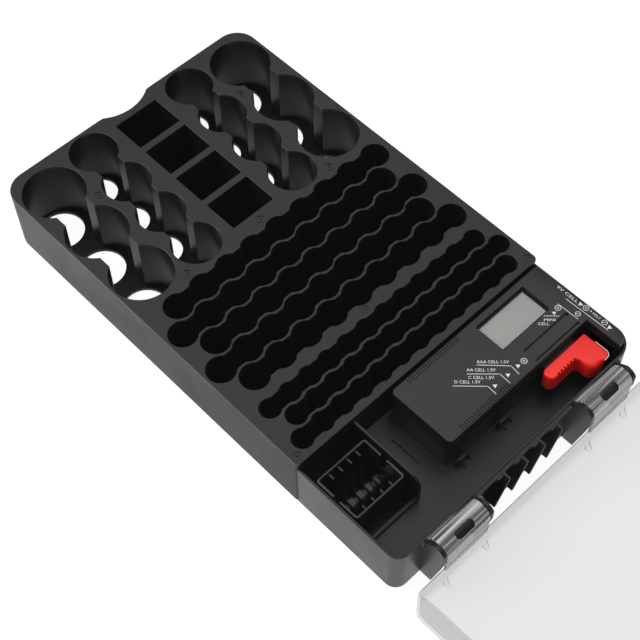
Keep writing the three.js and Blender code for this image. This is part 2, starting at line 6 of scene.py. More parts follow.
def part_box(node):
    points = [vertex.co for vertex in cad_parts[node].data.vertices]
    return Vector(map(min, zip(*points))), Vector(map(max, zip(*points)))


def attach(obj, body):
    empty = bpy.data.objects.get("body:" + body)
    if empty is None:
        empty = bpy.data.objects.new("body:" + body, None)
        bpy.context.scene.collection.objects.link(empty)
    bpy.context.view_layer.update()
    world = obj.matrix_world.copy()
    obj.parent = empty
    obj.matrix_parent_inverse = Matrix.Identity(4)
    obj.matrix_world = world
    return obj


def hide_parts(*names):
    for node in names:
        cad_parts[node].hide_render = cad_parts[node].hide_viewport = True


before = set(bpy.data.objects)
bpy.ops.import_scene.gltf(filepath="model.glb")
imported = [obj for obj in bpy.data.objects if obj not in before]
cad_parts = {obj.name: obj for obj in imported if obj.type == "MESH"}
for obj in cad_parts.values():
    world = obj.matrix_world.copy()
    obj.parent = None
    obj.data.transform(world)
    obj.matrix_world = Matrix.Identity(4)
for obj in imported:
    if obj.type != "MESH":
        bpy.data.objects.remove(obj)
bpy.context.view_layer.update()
MM = 0.001


# ---------------------------------------------------------------- workshop
def span(node):
    """The lowest and highest corner of a frame node, in millimetres."""
    low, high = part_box(node)
    return low / MM, high / MM


def only(*pieces):
    """These pieces selected, the first one active."""
    bpy.ops.object.select_all(action="DESELECT")
    for piece in pieces:
        piece.select_set(True)
    bpy.context.view_layer.objects.active = pieces[0]


def settle(piece, name=None):
    """The piece's place, turn and size go into its mesh."""
    only(piece)
    bpy.ops.object.transform_apply(location=True, rotation=True, scale=True)
    if name:
        piece.name = name
        piece.data.name = name
    return piece


def block(x0, x1, y0, y1, z0, z1):
    """A box between these faces, in millimetres."""
    bpy.ops.object.select_all(action="DESELECT")
    bpy.ops.mesh.primitive_cube_add(
        size=1,
        location=((x0 + x1) / 2 * MM, (y0 + y1) / 2 * MM, (z0 + z1) / 2 * MM),
        scale=((x1 - x0) * MM, (y1 - y0) * MM, (z1 - z0) * MM),
    )
    return settle(bpy.context.object)


TURNS = {"X": (0, math.pi / 2, 0), "Y": (math.pi / 2, 0, 0), "Z": (0, 0, 0)}


def rod(centre, radius, length, axis="Z", sides=48, far_radius=None, twist=0.0):
    """A turned bar about its centre point, in millimetres."""
    bpy.ops.object.select_all(action="DESELECT")
    bpy.ops.mesh.primitive_cone_add(
        vertices=sides,
        radius1=radius * MM,
        radius2=(radius if far_radius is None else far_radius) * MM,
        depth=length * MM,
        rotation=(0, 0, twist),
    )
    piece = settle(bpy.context.object)
    piece.rotation_euler = TURNS[axis]
    piece.location = Vector(centre) * MM
    return settle(piece)


def joined(pieces):
    """Several loose shapes that don't touch, as one."""
    if len(pieces) > 1:
        only(*pieces)
        bpy.ops.object.join()
    return pieces[0]


def finish(piece, kind, **settings):
    """One modifier, applied."""
    step = piece.modifiers.new(kind.lower(), kind)
    for key, value in settings.items():
        setattr(step, key, value)
    only(piece)
    bpy.ops.object.modifier_apply(modifier=step.name)
    return piece


def combine(piece, tool, operation):
    finish(piece, "BOOLEAN", operation=operation, solver="MANIFOLD", object=tool)
    bpy.data.objects.remove(tool)
    return piece


def cut(piece, *tools):
    for tool in tools:
        combine(piece, tool, "DIFFERENCE")
    return piece


def fuse(piece, *others):
    for other in others:
        combine(piece, other, "UNION")
    return piece


def edit(piece, action, mode="EDGE"):
    """Runs an action on the piece in edit mode with what is already picked."""
    only(piece)
    bpy.ops.object.mode_set(mode="EDIT")
    bpy.ops.mesh.select_mode(type=mode)
    action()
    bpy.ops.object.mode_set(mode="OBJECT")
    return piece


def drop(piece):
    """Nothing picked in the piece."""
    edit(piece, lambda: bpy.ops.mesh.select_all(action="DESELECT"))


DOUBLE, FINE_DOUBLE = 0.004, 0.002  # points this close are one, in millimetres


def clean(piece, gap=DOUBLE):
    """Doubles merged and faces turned outwards."""

    def action():
        bpy.ops.mesh.select_all(action="SELECT")
        bpy.ops.mesh.remove_doubles(threshold=gap * MM)
        bpy.ops.mesh.normals_make_consistent(inside=False)

    return edit(piece, action)


def soften(piece, width, test=None, steps=2, bend=25, profile=0.5):
    """Rounds the edges that turn more than bend degrees and pass the test on their ends."""
    drop(piece)
    mesh = piece.data
    sides = {}
    for face in mesh.polygons:
        for key in face.edge_keys:
            sides.setdefault(key, []).append(face.normal.copy())
    for edge in mesh.edges:
        normals = sides.get(edge.key, [])
        if len(normals) == 2 and normals[0].angle(normals[1], 0) > math.radians(bend):
            ends = [mesh.vertices[i].co / MM for i in edge.vertices]
            edge.select = test is None or test(*ends)
    return edit(
        piece,
        lambda: bpy.ops.mesh.bevel(
            offset=width * MM, segments=steps, affect="EDGES", profile=profile
        ),
    )


SHARP = 60  # degrees: edges that turn less than this are left alone beside curved walls
PLUMB = 0.02  # ends this close in plan stand over each other, in millimetres
TALL = 0.5  # and are this far apart in height when the edge is upright
LEVEL = 0.01  # ends this close to a height lie at it


def upright(a, b):
    return abs(a.x - b.x) < PLUMB and abs(a.y - b.y) < PLUMB and abs(a.z - b.z) > TALL


def at_height(z):
    return lambda a, b: abs(a.z - z) < LEVEL and abs(b.z - z) < LEVEL


def near(x, y, reach=0.6):
    """An upright edge that stands at this place."""
    return lambda a, b: upright(a, b) and abs(a.x - x) < reach and abs(a.y - y) < reach


def slice_off(piece, point, normal):
    """Cuts away the side that the normal points to and closes the cut."""

    def action():
        bpy.ops.mesh.select_all(action="SELECT")
        bpy.ops.mesh.bisect(
            plane_co=Vector(point) * MM,
            plane_no=Vector(normal).normalized(),
            use_fill=True,
            clear_outer=True,
        )

    return edit(piece, action)


def copy_of(piece, shift=(0, 0, 0)):
    """Another one with its own mesh, moved by this many millimetres."""
    twin = piece.copy()
    twin.data = piece.data.copy()
    bpy.context.scene.collection.objects.link(twin)
    twin.data.transform(Matrix.Translation(Vector(shift) * MM))
    return twin


def shade(piece, angle=20):
    only(piece)
    bpy.ops.object.shade_smooth_by_angle(angle=math.radians(angle))
    return piece


def ready(piece, name, body, material, nodes=(), angle=20):
    """Names a finished piece, paints it and puts it on its body."""
    settle(piece, name)
    shade(piece, angle)
    piece.data.materials.clear()
    piece.data.materials.append(material)
    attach(piece, body)
    if nodes:
        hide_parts(*nodes)
    return piece


# ---------------------------------------------------------------- finishes
def linear(code):
    """A hex colour as seen on a screen, as linear light."""
    parts = [int(code[i : i + 2], 16) / 255 for i in (1, 3, 5)]
    return [
        c / 12.92 if c <= 0.04045 else ((c + 0.055) / 1.055) ** 2.4 for c in parts
    ] + [1.0]


def add(tree, kind, settings=None, inputs=None):
    """Adds a node with its settings and its inputs, each a value or a socket to link."""
    made = tree.nodes.new(kind)
    for key, value in (settings or {}).items():
        setattr(made, key, value)
    for key, value in (inputs or {}).items():
        if isinstance(value, bpy.types.NodeSocket):
            tree.links.new(value, made.inputs[key])
        else:
            made.inputs[key].default_value = value
    return made


def new_finish(name):
    material = bpy.data.materials.new(name)
    material.use_nodes = True
    material.node_tree.nodes.clear()
    return material, material.node_tree


def spread(tree, factor, low, high, first, last):
    """A colour that goes from first to last as factor goes from low to high."""
    ramp = add(tree, "ShaderNodeValToRGB", inputs={"Fac": factor})
    ramp.color_ramp.elements[0].position = low
    ramp.color_ramp.elements[0].color = first
    ramp.color_ramp.elements[1].position = high
    ramp.color_ramp.elements[1].color = last
    return ramp.outputs["Color"]


PLASTIC_IOR = 1.5
PAINTED_GLOW = 0.0028  # painted glow: a faint white emission on every moulded finish keeps its deepest black off zero
FLOW_SIZE = 0.045  # metres across one patch of the flow mottling
FLOW_LOW, FLOW_HIGH = 0.35, 0.7  # where the mottling goes from the base to the pale colour
SPECK_SPACING = 0.0055  # metres between specks of dust
SPECK_CORE, SPECK_RIM = 0.018, 0.03  # a speck is solid to here and gone by there
SPECK_COLOUR = "#5a5a5a"
WORN_LOW, WORN_HIGH = 0.3, 0.75  # where handling makes the surface smoother, then rougher
SMOOTHED, ROUGHENED = 0.05, 0.07
GRAIN_STRENGTH = 0.6
WELL_SHADE_Z, DECK_Z = 0.0375, 0.0392  # metres: painted shade in the cell wells; the block's own shine comes back over this height
BLOCK_FRONT_Y = -0.1108  # metres: in front of it is the bay, with the full shine


def moulded(name, base, pale, rough, grain_mm, grain_depth, specular=0.5, painted_shade_shine=None):
    """Moulded plastic: a fine mould grain, flow mottling and light handling marks.
    With a shine for the wells given, the walls of the cell block below its deck get that weaker shine:
    painted shade in the wells."""
    material, tree = new_finish(name)
    place = add(tree, "ShaderNodeTexCoord").outputs["Object"]
    flow = add(
        tree,
        "ShaderNodeTexNoise",
        inputs={"Vector": place, "Scale": 1 / FLOW_SIZE, "Detail": 4.0, "Roughness": 0.6},
    )
    grain = add(
        tree,
        "ShaderNodeTexNoise",
        inputs={"Vector": place, "Scale": 1 / (grain_mm * MM), "Detail": 3.0},
    )
    specks = add(
        tree,
        "ShaderNodeTexVoronoi",
        inputs={"Vector": place, "Scale": 1 / SPECK_SPACING, "Randomness": 1.0},
    )
    tone = spread(tree, flow.outputs["Fac"], FLOW_LOW, FLOW_HIGH, linear(base), linear(pale))
    white, black = (1, 1, 1, 1), (0, 0, 0, 1)
    dust = spread(tree, specks.outputs["Distance"], SPECK_CORE, SPECK_RIM, white, black)
    colour = add(
        tree,
        "ShaderNodeMix",
        {"data_type": "RGBA"},
        {"Factor": dust, "A": tone, "B": linear(SPECK_COLOUR)},
    )
    wear = add(
        tree,
        "ShaderNodeMapRange",
        inputs={
            "Value": flow.outputs["Fac"],
            "From Min": WORN_LOW,
            "From Max": WORN_HIGH,
            "To Min": rough - SMOOTHED,
            "To Max": rough + ROUGHENED,
        },
    )
    bump = add(
        tree,
        "ShaderNodeBump",
        inputs={
            "Height": grain.outputs["Fac"],
            "Strength": GRAIN_STRENGTH,
            "Distance": grain_depth * MM,
        },
    )
    shine = specular
    # painted shade: a weaker shine on the cell block's walls below its deck, full shine on the deck and in
    # the bay
    if painted_shade_shine is not None:
        along = add(tree, "ShaderNodeSeparateXYZ", inputs={"Vector": place})
        on_deck = add(
            tree,
            "ShaderNodeMapRange",
            inputs={"Value": along.outputs["Z"], "From Min": WELL_SHADE_Z, "From Max": DECK_Z},
        )
        in_bay = add(
            tree,
            "ShaderNodeMath",
            {"operation": "LESS_THAN"},
            {0: along.outputs["Y"], 1: BLOCK_FRONT_Y},
        )
        either = add(
            tree,
            "ShaderNodeMath",
            {"operation": "MAXIMUM"},
            {0: on_deck.outputs["Result"], 1: in_bay.outputs["Value"]},
        )
        shine = add(
            tree,
            "ShaderNodeMapRange",
            inputs={"Value": either.outputs["Value"], "To Min": painted_shade_shine, "To Max": specular},
        ).outputs["Result"]
    surface = add(
        tree,
        "ShaderNodeBsdfPrincipled",
        inputs={
            "Base Color": colour.outputs["Result"],
            "Roughness": wear.outputs["Result"],
            "Normal": bump.outputs["Normal"],
            "IOR": PLASTIC_IOR,
            "Specular IOR Level": shine,
            # painted glow: the faint white emission that lifts the deepest black
            "Emission Color": linear("#ffffff"),
            "Emission Strength": PAINTED_GLOW,
        },
    )
    add(tree, "ShaderNodeOutputMaterial", inputs={"Surface": surface.outputs["BSDF"]})
    return material


WAVE_SIZE = 0.03  # metres across one of the skin's slow waves
WAVE_DEPTH = 0.0002
WAVE_STRENGTH = 0.25
STREAK_SIZE = 0.0022  # metres across a painted highlight streak, which is drawn out along X
STREAK_DRAW = 0.03
STREAK_LOW, STREAK_HIGH = 0.42, 0.62
POLISHED = 0.06


def clear_moulding(name, face_on, edge_on, haze, painted_highlight, shine, rim_shine):
    """Clear plastic: light goes straight through, greyer at a slant, under a polished skin whose colour
    carries painted highlight streaks drawn out along X.
    """
    material, tree = new_finish(name)
    place = add(tree, "ShaderNodeTexCoord").outputs["Object"]
    waves = add(
        tree,
        "ShaderNodeTexNoise",
        inputs={"Vector": place, "Scale": 1 / WAVE_SIZE, "Detail": 2.0},
    )
    bump = add(
        tree,
        "ShaderNodeBump",
        inputs={"Height": waves.outputs["Fac"], "Strength": WAVE_STRENGTH, "Distance": WAVE_DEPTH},
    ).outputs["Normal"]
    drawn = add(tree, "ShaderNodeMapping", inputs={"Vector": place, "Scale": (STREAK_DRAW, 1.0, 1.0)})
    streaks = add(
        tree,
        "ShaderNodeTexNoise",
        inputs={"Vector": drawn.outputs["Vector"], "Scale": 1 / STREAK_SIZE, "Detail": 1.0},
    )
    # painted highlight: streaks in the skin's colour, from the haze colour up to the highlight colour
    painted_glint = spread(tree, streaks.outputs["Fac"], STREAK_LOW, STREAK_HIGH, linear(haze), linear(painted_highlight))
    slant = add(tree, "ShaderNodeLayerWeight", inputs={"Blend": 0.5}).outputs["Facing"]
    tint = spread(tree, slant, 0.3, 1.0, linear(face_on), linear(edge_on))
    through = add(tree, "ShaderNodeBsdfTransparent", inputs={"Color": tint})
    skin_light = add(
        tree,
        "ShaderNodeBsdfPrincipled",
        inputs={
            "Base Color": painted_glint,
            "Roughness": POLISHED,
            "Normal": bump,
            "IOR": PLASTIC_IOR,
            "Specular IOR Level": 1.0,
        },
    )
    amount = add(
        tree,
        "ShaderNodeMapRange",
        inputs={
            "Value": slant,
            "From Min": 0.2,
            "From Max": 1.0,
            "To Min": shine,
            "To Max": rim_shine,
        },
    )
    surface = add(
        tree,
        "ShaderNodeMixShader",
        inputs={0: amount.outputs["Result"], 1: through.outputs["BSDF"], 2: skin_light.outputs["BSDF"]},
    )
    add(tree, "ShaderNodeOutputMaterial", inputs={"Surface": surface.outputs["Shader"]})
    return material


LAY_DRAW = 12.0  # each line of the lay is this many times as long as it is wide
LAY_DEPTH = 0.00002
LAY_STRENGTH = 0.3
LAY_SMOOTHER, LAY_ROUGHER = 0.06, 0.1


def metal(name, colour, rough, lay_mm):
    """Rolled or plated sheet metal with a fine brushed lay."""
    material, tree = new_finish(name)
    place = add(tree, "ShaderNodeTexCoord").outputs["Object"]
    along = add(
        tree,
        "ShaderNodeMapping",
        inputs={"Vector": place, "Scale": (1.0, LAY_DRAW, LAY_DRAW)},
    )
    lay = add(
        tree,
        "ShaderNodeTexNoise",
        inputs={
            "Vector": along.outputs["Vector"],
            "Scale": 1 / (lay_mm * LAY_DRAW * MM),
            "Detail": 3.0,
        },
    )
    wear = add(
        tree,
        "ShaderNodeMapRange",
        inputs={
            "Value": lay.outputs["Fac"],
            "To Min": rough - LAY_SMOOTHER,
            "To Max": rough + LAY_ROUGHER,
        },
    )
    bump = add(
        tree,
        "ShaderNodeBump",
        inputs={"Height": lay.outputs["Fac"], "Strength": LAY_STRENGTH, "Distance": LAY_DEPTH},
    )
    surface = add(
        tree,
        "ShaderNodeBsdfPrincipled",
        inputs={
            "Base Color": linear(colour),
            "Metallic": 1.0,
            "Roughness": wear.outputs["Result"],
            "Normal": bump.outputs["Normal"],
        },
    )
    add(tree, "ShaderNodeOutputMaterial", inputs={"Surface": surface.outputs["BSDF"]})
    return material


# polypropylene copolymer, spark-eroded mould: a dark satin black; the walls of its cell wells get a weaker
# shine as painted shade, so it greys on its upper faces
tray_plastic = moulded(
    "moulded_black_polypropylene",
    "#0d0d0d",
    "#141414",
    rough=0.36,
    grain_mm=0.5,
    grain_depth=0.02,
    specular=0.42,
    painted_shade_shine=0.14,
)
# high-flow black ABS from a finer mould: a little smoother and darker than the tray
case_plastic = moulded(
    "moulded_black_abs",
    "#0f0f0f",
    "#141414",
    rough=0.34,
    grain_mm=0.4,
    grain_depth=0.014,
    specular=0.47,
)
# polished black polystyrene: the cradle and cup shine where the light catches them
cup_plastic = moulded(
    "polished_black_polystyrene", "#0f0f0f", "#161616", rough=0.2, grain_mm=0.8, grain_depth=0.008
)
# bright red ABS: solid warm red with a soft gloss
red_plastic = moulded(
    "moulded_red_abs", "#f2160c", "#f61a10", rough=0.34, grain_mm=0.5, grain_depth=0.012
)
# general-purpose clear polystyrene: the lid, greyed by its own thickness, with faint painted highlight
# streaks
clear_plastic = clear_moulding(
    "clear_polystyrene",
    face_on="#f5f5f5",
    edge_on="#eeefef",
    haze="#a4a6a6",
    painted_highlight="#b8baba",
    shine=0.07,
    rim_shine=0.27,
)
# the same polystyrene where it is thick and curved: it catches far more light, from a stronger shine and
# from white painted highlight streaks along its axis
thick_plastic = clear_moulding(
    "thick_clear_polystyrene",
    face_on="#f4f4f4",
    edge_on="#dcdede",
    haze="#585a5a",
    painted_highlight="#ffffff",
    shine=0.4,
    rim_shine=0.8,
)
# cast acrylic: the display's window, with faint painted highlight streaks
window_plastic = clear_moulding(
    "clear_acrylic",
    face_on="#fcfcfc",
    edge_on="#d8d9d9",
    haze="#8c8c8c",
    painted_highlight="#9c9c9c",
    shine=0.03,
    rim_shine=0.5,
)
# nickel-plated steel strip and zinc-plated screws: pale grey metal with a drawn lay
steel = metal("nickel_plated_steel", "#c9c7c2", rough=0.24, lay_mm=0.08)
# tarnished phosphor bronze: a dim brown spring strip in the head's wall
bronze = metal("tarnished_phosphor_bronze", "#4c4030", rough=0.42, lay_mm=0.08)
# pad-printed ink: a flat chalky white, barely above the plastic
ink = moulded(
    "pad_printed_white_ink", "#dedede", "#eeeeee", rough=0.55, grain_mm=0.3, grain_depth=0.004
)
# glass-epoxy laminate under green solder mask: a dull weave shows through
board_finish = moulded(
    "green_solder_mask", "#0e2a18", "#15331f", rough=0.38, grain_mm=0.9, grain_depth=0.01
)
# cast epoxy blob over the chip: matt black and smooth
chip_finish = moulded(
    "cast_black_epoxy", "#101010", "#171717", rough=0.5, grain_mm=1.2, grain_depth=0.02
)
# striped silicone connector: pink-grey rubber
rubber_finish = moulded(
    "silicone_rubber", "#5a4f50", "#655a5b", rough=0.6, grain_mm=0.4, grain_depth=0.01
)
# polarised display glass, switched off: a pale warm grey with a smooth front
display_finish = moulded(
    "polarised_display_glass", "#a9a9a6", "#b0b0ad", rough=0.3, grain_mm=2.0, grain_depth=0.002
)


# ---------------------------------------------------------------- sizes, millimetres
tray_high = span("storage_tray")[1]
lid_low, lid_high = span("clear_lid")
top_low, top_high = span("tester_top_shell")
back_low, back_high = span("tester_back_shell")
slider_low, slider_high = span("test_slider")
cup_low, cup_high = span("coin_cell_box")
cradle_low, cradle_high = span("coin_cell_cradle")
pin_low, pin_high = span("hinge_pin_right")
window_low, window_high = span("lcd_window")

half = tray_high.x
block_back = tray_high.y
block_front = -111.13
height = tray_high.z
skin = 2.0
ribbon = 1.5
cell_floor = 2.0

pin_y = (pin_low.y + pin_high.y) / 2
pin_z = (pin_low.z + pin_high.z) / 2
hinge_x = 52.53
hinge_half = 15.0
sleeve_r = 6.4
sleeve_wall = 1.4
ear_thick = 2.2

bay_half = half - 0.28
bay_wall = 1.5
bay_in = bay_half - bay_wall
bay_front = -178.03
bay_in_front = bay_front + bay_wall
rim = 34.7
bay_floor = 15.89
bay_corner, bay_head_corner = 7, 12
inner_corner, inner_head_corner = 5.5, 10.5
pocket_x = -49.8
pocket_y = -153.83
ridge_wide = 2.6


# ---------------------------------------------------------------- tray
def wells(x, y, along, count, pitch, radius, neck, low, high, sides, soft=0.0):
    """A row of round wells joined by straight necks, as one solid."""
    middle = (low + high) / 2
    step = Vector((pitch, 0)) if along == "x" else Vector((0, -pitch))
    runs = []
    for start in (0, 1):
        runs.append(
            joined(
                [
                    rod((x + k * step.x, y + k * step.y, middle), radius, high - low, sides=sides)
                    for k in range(start, count, 2)
                ]
            )
        )
    far_x = x + (count - 1) * step.x
    far_y = y + (count - 1) * step.y
    if along == "x":
        necks = block(x, far_x, y - neck, y + neck, low, high)
    else:
        necks = block(x - neck, x + neck, far_y, y, low, high)
    row = clean(fuse(runs[0], runs[1], necks), 0.02)
    if soft:
        soften(row, soft, upright, steps=3)
    return row


# each kind of cell: where its first well stands, its pitch, its radius and half its neck
D_X, D_Y, D_PITCH, D_R, D_NECK = 67.58, 100.29, 36.56, 17.4, 9.66
C_X, C_Y, C_PITCH, C_R, C_NECK = 34.77, 107.35, 28.58, 13.61, 7.55
AA_EVEN_X, AA_ODD_X, AA_Y, AA_PITCH, AA_R, AA_NECK = -67.67, -76.96, -2.17, 17.82, 7.89, 5.07
AAA_EVEN_X, AAA_ODD_X, AAA_Y, AAA_PITCH, AAA_R, AAA_NECK = -74.44, -67.61, -78.73, 13.34, 5.72, 4.25
AA_ROW, AAA_ROW = 14.49, 11.47
NINE_Y, NINE_ROW, NINE_HALF_X, NINE_HALF_Y, NINE_COUNT = 102.37, 25.63, 14.24, 10.68, 4
rows = []
for side in (-1, 1):
    rows.append((side * D_X, D_Y, "y", 3, D_PITCH, D_R, D_NECK, 64, 0.0))
    rows.append((side * C_X, C_Y, "y", 4, C_PITCH, C_R, C_NECK, 64, 0.0))
for k in range(5):
    start_x = AA_ODD_X if k % 2 else AA_EVEN_X
    rows.append((start_x, AA_Y - AA_ROW * k, "x", 9, AA_PITCH, AA_R, AA_NECK, 36, 0.9))
for k in range(3):
    start_x = AAA_ODD_X if k % 2 else AAA_EVEN_X
    rows.append((start_x, AAA_Y - AAA_ROW * k, "x", 12, AAA_PITCH, AAA_R, AAA_NECK, 30, 0.7))


def nine_volt(k, extra, low, high):
    """The well of one nine-volt cell, grown by extra on each side."""
    y = NINE_Y - NINE_ROW * k
    x_reach, y_near, y_far = NINE_HALF_X + extra, y - NINE_HALF_Y - extra, y + NINE_HALF_Y + extra
    return block(-NINE_HALF_X - extra, x_reach, y_near, y_far, low, high)


DECK_BACK_CORNER, DECK_FRONT_CORNER = 13, 3
NOTCH_R, NOTCH_DEEP, NOTCH_SHOULDER = 26.4, 5.4, 6  # the thumb notch in the back edge


def deck_solid(inset, low, high):
    """The block's outline with its round corners and thumb notch."""
    solid = block(inset - half, half - inset, block_front + inset, block_back - inset, low, high)
    soften(solid, DECK_BACK_CORNER - inset, lambda a, b: upright(a, b) and a.y > 0, steps=12)
    soften(solid, DECK_FRONT_CORNER - inset, lambda a, b: upright(a, b) and a.y < 0, steps=4)
    centre = (0, block_back - NOTCH_DEEP + NOTCH_R - inset, (low + high) / 2)
    cut(solid, rod(centre, NOTCH_R, high - low + 2, sides=180))
    soften(
        solid,
        NOTCH_SHOULDER,
        lambda a, b: upright(a, b) and abs(a.x) < 17 and a.y > block_back - inset - 0.5,
        steps=8,
    )
    return clean(solid)


HOLE_SHARE, HOLE_SHIFT = 0.7386, 0.198  # of a large well's radius: the hole in its floor
tray = deck_solid(0, 0, height)
hollow = deck_solid(skin, -1, height - skin)
for x, y, along, count, pitch, radius, neck, sides, _ in rows:
    cut(hollow, wells(x, y, along, count, pitch, radius + ribbon, neck + ribbon, -2, height, sides))
for k in range(NINE_COUNT):
    cut(hollow, nine_volt(k, ribbon, -2, height))
cut(tray, hollow)
for x, y, along, count, pitch, radius, neck, sides, soft in rows:
    cut(tray, wells(x, y, along, count, pitch, radius, neck, cell_floor, height + 1, sides, soft))
    if along == "y":
        hole = radius * HOLE_SHARE
        shift = radius * HOLE_SHIFT
        cut(
            tray,
            joined([rod((x, y - k * pitch + shift, 1), hole, 4, sides=64) for k in range(count)]),
        )
for k in range(NINE_COUNT):
    cut(tray, soften(nine_volt(k, 0, cell_floor, height + 1), 0.5, upright))

# a soft edge all round the deck and every well mouth
clean(tray, 0.01)
soften(tray, 0.35, at_height(height), steps=2, bend=40)


# ---------------------------------------------------------------- tester bay
def bay_solid(x0, x1, y0, y1, z0, z1, corner, head_corner, foot=0.0):
    """A box with its two front corners rounded, and its bottom edges where foot is given."""
    solid = block(x0, x1, y0, y1, z0, z1)
    soften(solid, corner, near(x0, y0), steps=8)
    soften(solid, head_corner, near(x1, y0), steps=10)
    if foot:
        soften(solid, foot, at_height(z0), steps=3)
    return solid


bay_inside = (-bay_in, bay_in, bay_in_front, block_front)
corners = (inner_corner, inner_head_corner)
bay = bay_solid(-bay_half, bay_half, bay_front, block_front + 1, 0, rim, bay_corner, bay_head_corner)
cut(bay, bay_solid(*bay_inside, bay_floor, rim + 1, *corners, 0.6))
under = bay_solid(*bay_inside, -1, bay_floor - 2, *corners)
cut(under, block(-bay_in - 1, pocket_x + bay_wall, pocket_y - ridge_wide, block_front + 1, -2, rim))
cut(bay, under)
cut(bay, block(-bay_in, pocket_x, pocket_y, block_front, cell_floor, rim + 1))

partition_front = pocket_y - ridge_wide
partition = block(pocket_x, pocket_x + bay_wall, partition_front, block_front + 0.5, bay_floor - 1, rim + 2)
soften(
    partition,
    8,
    lambda a, b: a.y < partition_front + 1 and b.y < partition_front + 1 and a.z > rim and b.z > rim,
    steps=8,
)
soften(partition, 0.3, lambda a, b: a.z > rim - 7 and b.z > rim - 7, bend=SHARP)
ridge = block(-bay_in - 0.5, pocket_x + bay_wall, partition_front, pocket_y, bay_floor - 1, bay_floor + 2)
soften(ridge, 0.6, at_height(bay_floor + 2))
recess = bay_floor - 1.4
slot = block(pocket_x + 14.0, pocket_x + 15.6, -142.8, -124.4, recess, bay_floor + 1)
soften(slot, 0.5, upright, steps=3)
fuse(bay, partition, ridge)
cut(bay, slot)

# spring catches under the tester's front edge: a T-shaped recess and a hooked finger
CATCH_X = (-18.46, 11.94)
for x in CATCH_X:
    opening = fuse(
        block(x - 4.5, x + 4.5, -159.0, -156.0, recess, bay_floor + 1),
        block(x - 3.4, x - 0.8, -160.6, -158.0, recess, bay_floor + 1),
    )
    cut(bay, opening)
    finger = fuse(
        block(x - 4, x + 4, -157.13, -155.53, bay_floor - 2, bay_floor + 4.6),
        soften(block(x - 3.4, x + 3.4, -157.8, -155.5, bay_floor + 4.2, bay_floor + 6), 0.5),
    )
    fuse(bay, finger)

# front lip, hinge ears and the leaning fins that part the flat-cell slots
lip_deep = 2
lip_y = (bay_front - lip_deep, bay_front + 0.5)
lip_half = hinge_x - hinge_half - ear_thick
fuse(bay, soften(block(-lip_half, lip_half, *lip_y, rim - lip_deep, rim), 0.35))
outer_ear = hinge_x + hinge_half + ear_thick
for x0, x1 in ((-outer_ear - 2.2, -outer_ear + 0.5), (outer_ear - 0.5, outer_ear + 2.2)):
    fuse(bay, soften(block(x0, x1, *lip_y, rim - lip_deep, rim), 0.3))

EAR_FRONT = -192  # the ears' outer face before their front is cut to its slanting line
ear = block(0, ear_thick, EAR_FRONT, bay_front + 0.5, 0, pin_z + sleeve_r)
soften(
    ear,
    sleeve_r,
    lambda a, b: a.y < EAR_FRONT + 1 and b.y < EAR_FRONT + 1 and a.z > 35 and b.z > 35,
    steps=8,
)
slice_off(ear, (0, -191.23, 29), (0, -1.8, 0.01))
slice_off(ear, (0, -189.23, 18), (0, -11, -2))
slice_off(ear, (0, -185.23, 0), (0, -18, -4))
slice_off(ear, (0, pin_y, pin_z + sleeve_r), (0, 4.7, 7.2))
soften(ear, 0.3)
FIN_X, FIN_PITCH, FIN_LEAN = -25.4, 12.8, 8.2
fins = []
for k in range(4):
    x = FIN_X + FIN_PITCH * k
    fin = block(x, x + 1.5, bay_front - 6.6, bay_front + 0.5, rim - 19.8, rim - 0.2)
    drop(fin)
    for vertex in fin.data.vertices:
        vertex.select = vertex.co.z > (rim - 1) * MM
    edit(fin, lambda: bpy.ops.transform.translate(value=(FIN_LEAN * MM, 0, 0)), "VERT")
    cheek = block(x + 4.2, x + 9.7, bay_front - 3.2, bay_front + 0.5, rim - 9.6, rim - 0.8)
    slice_off(cheek, (x + 8.2, 0, rim), (19.6, 0, -8.2))
    slice_off(cheek, (x + 5.0, bay_front - 3.2, rim - 1), (-1, -1.4, -0.5))
    fins += [soften(fin, 0.3), cheek]
fuse(bay, *fins)
for side in (-1, 1):
    for end in (-1, 1):
        inner = side * hinge_x + end * hinge_half
        fuse(bay, copy_of(ear, (inner if end > 0 else inner - ear_thick, 0, 0)))
bpy.data.objects.remove(ear)
soften(
    bay,
    0.35,
    lambda a, b: at_height(rim)(a, b) and a.y > bay_front - 0.3 and b.y > bay_front - 0.3,
    bend=SHARP,
)
cut(bay, block(-lip_half, lip_half, bay_front - 2.5, bay_front + 0.1, rim - 0.7, rim + 1))
fuse(tray, bay)
for side in (-1, 1):
    cut(tray, rod((side * hinge_x, pin_y, pin_z), 4.8, 2 * hinge_half + 3.2, "X"))

# ejector marks on the deck: a shallow dish with a small nib
ejector_marks = (
    ((-51.8, 82.2), (51.8, 82.2), (-51, 9.8), (51, 9.8))
    + ((0.2, 9.1), (-83, -106.8), (83, -106.8), (-0.5, -70.1))
)
for x, y in ejector_marks:
    fuse(tray, rod((x, y, height), 2.6, 0.36, sides=32))
    cut(tray, rod((x, y, height + 0.5), 2.15, 1.5, sides=32))
    fuse(tray, rod((x, y, height - 0.2), 0.8, 0.9, sides=12, far_radius=0.4))
tray_nodes = ["storage_tray", "tray_front_rail"]
ready(clean(tray, FINE_DOUBLE), "tray_moulding", "tray", tray_plastic, tray_nodes)

for side, node in ((-1, "hinge_pin_left"), (1, "hinge_pin_right")):
    pin = rod((side * hinge_x, pin_y, pin_z), 4.7, 2 * hinge_half + 2.8, "X")
    soften(pin, 0.4)
    name = "pivot_pin_left" if side < 0 else "pivot_pin_right"
    ready(pin, name, "tray", tray_plastic, [node])

